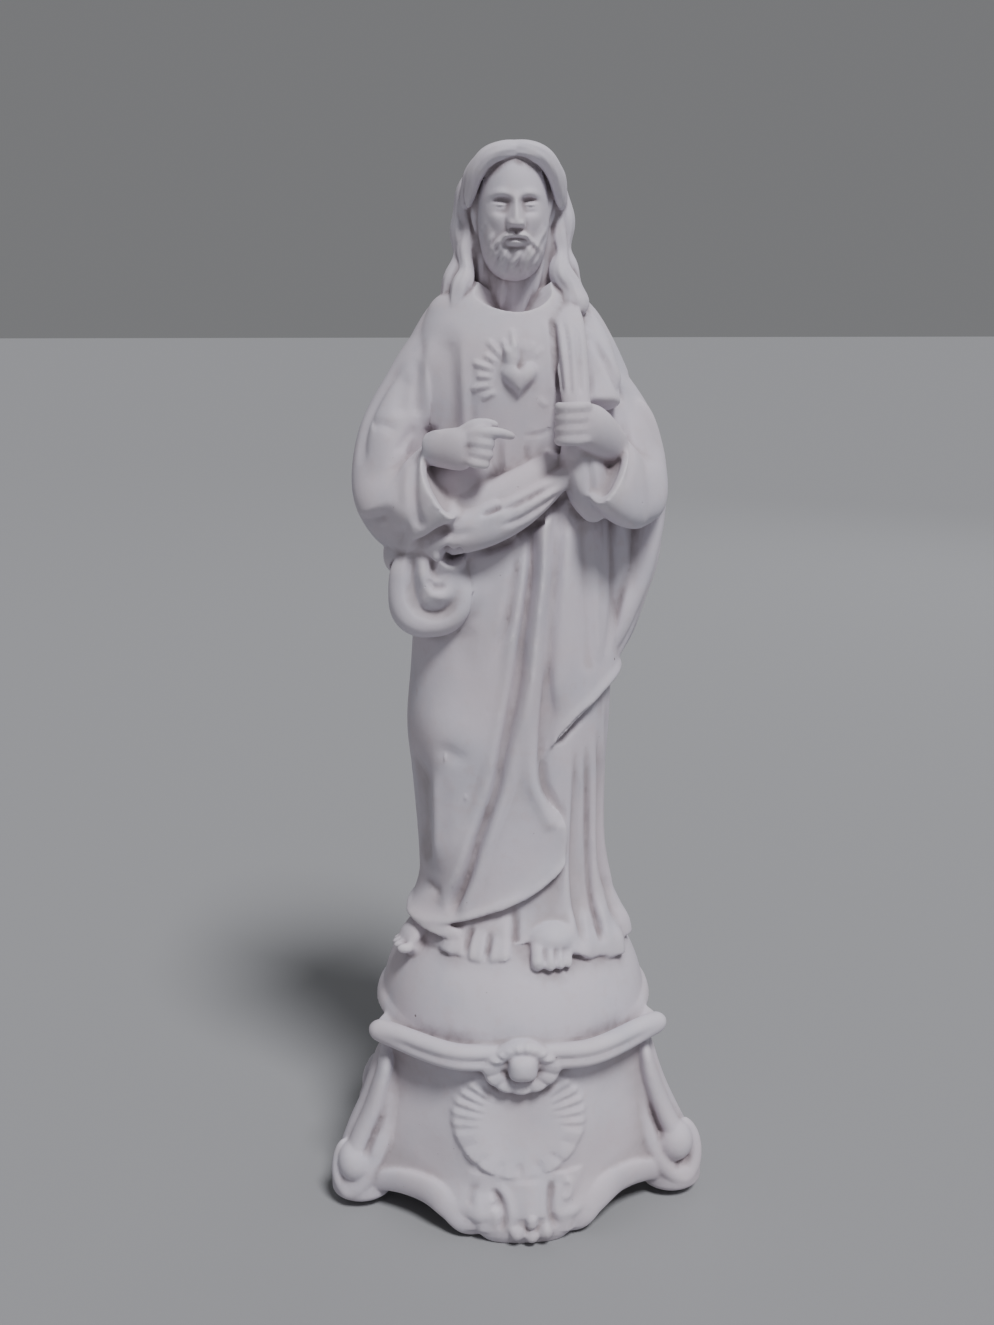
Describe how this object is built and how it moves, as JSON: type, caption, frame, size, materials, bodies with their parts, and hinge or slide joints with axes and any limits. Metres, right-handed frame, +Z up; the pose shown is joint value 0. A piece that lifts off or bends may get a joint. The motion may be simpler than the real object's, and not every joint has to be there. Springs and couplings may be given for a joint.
{
  "type": "jesus statue",
  "caption": "Plaster devotional statuette: a bearded robed figure with a heart in relief stands on a half globe over a scrolled, shell-carved base.",
  "frame": {"origin": "middle of the base's outline, on the surface that the six feet stand on", "axes": "+Z up to the crown of the head, -Y is the way the figure faces, +X is the figure's left hand side"},
  "size_m": [0.1106, 0.1, 0.302],
  "materials": {
    "plaster": "unglazed matt white plaster"
  },
  "bodies": {
    "root": {"statue": "plaster"}
  },
  "joints": []
}
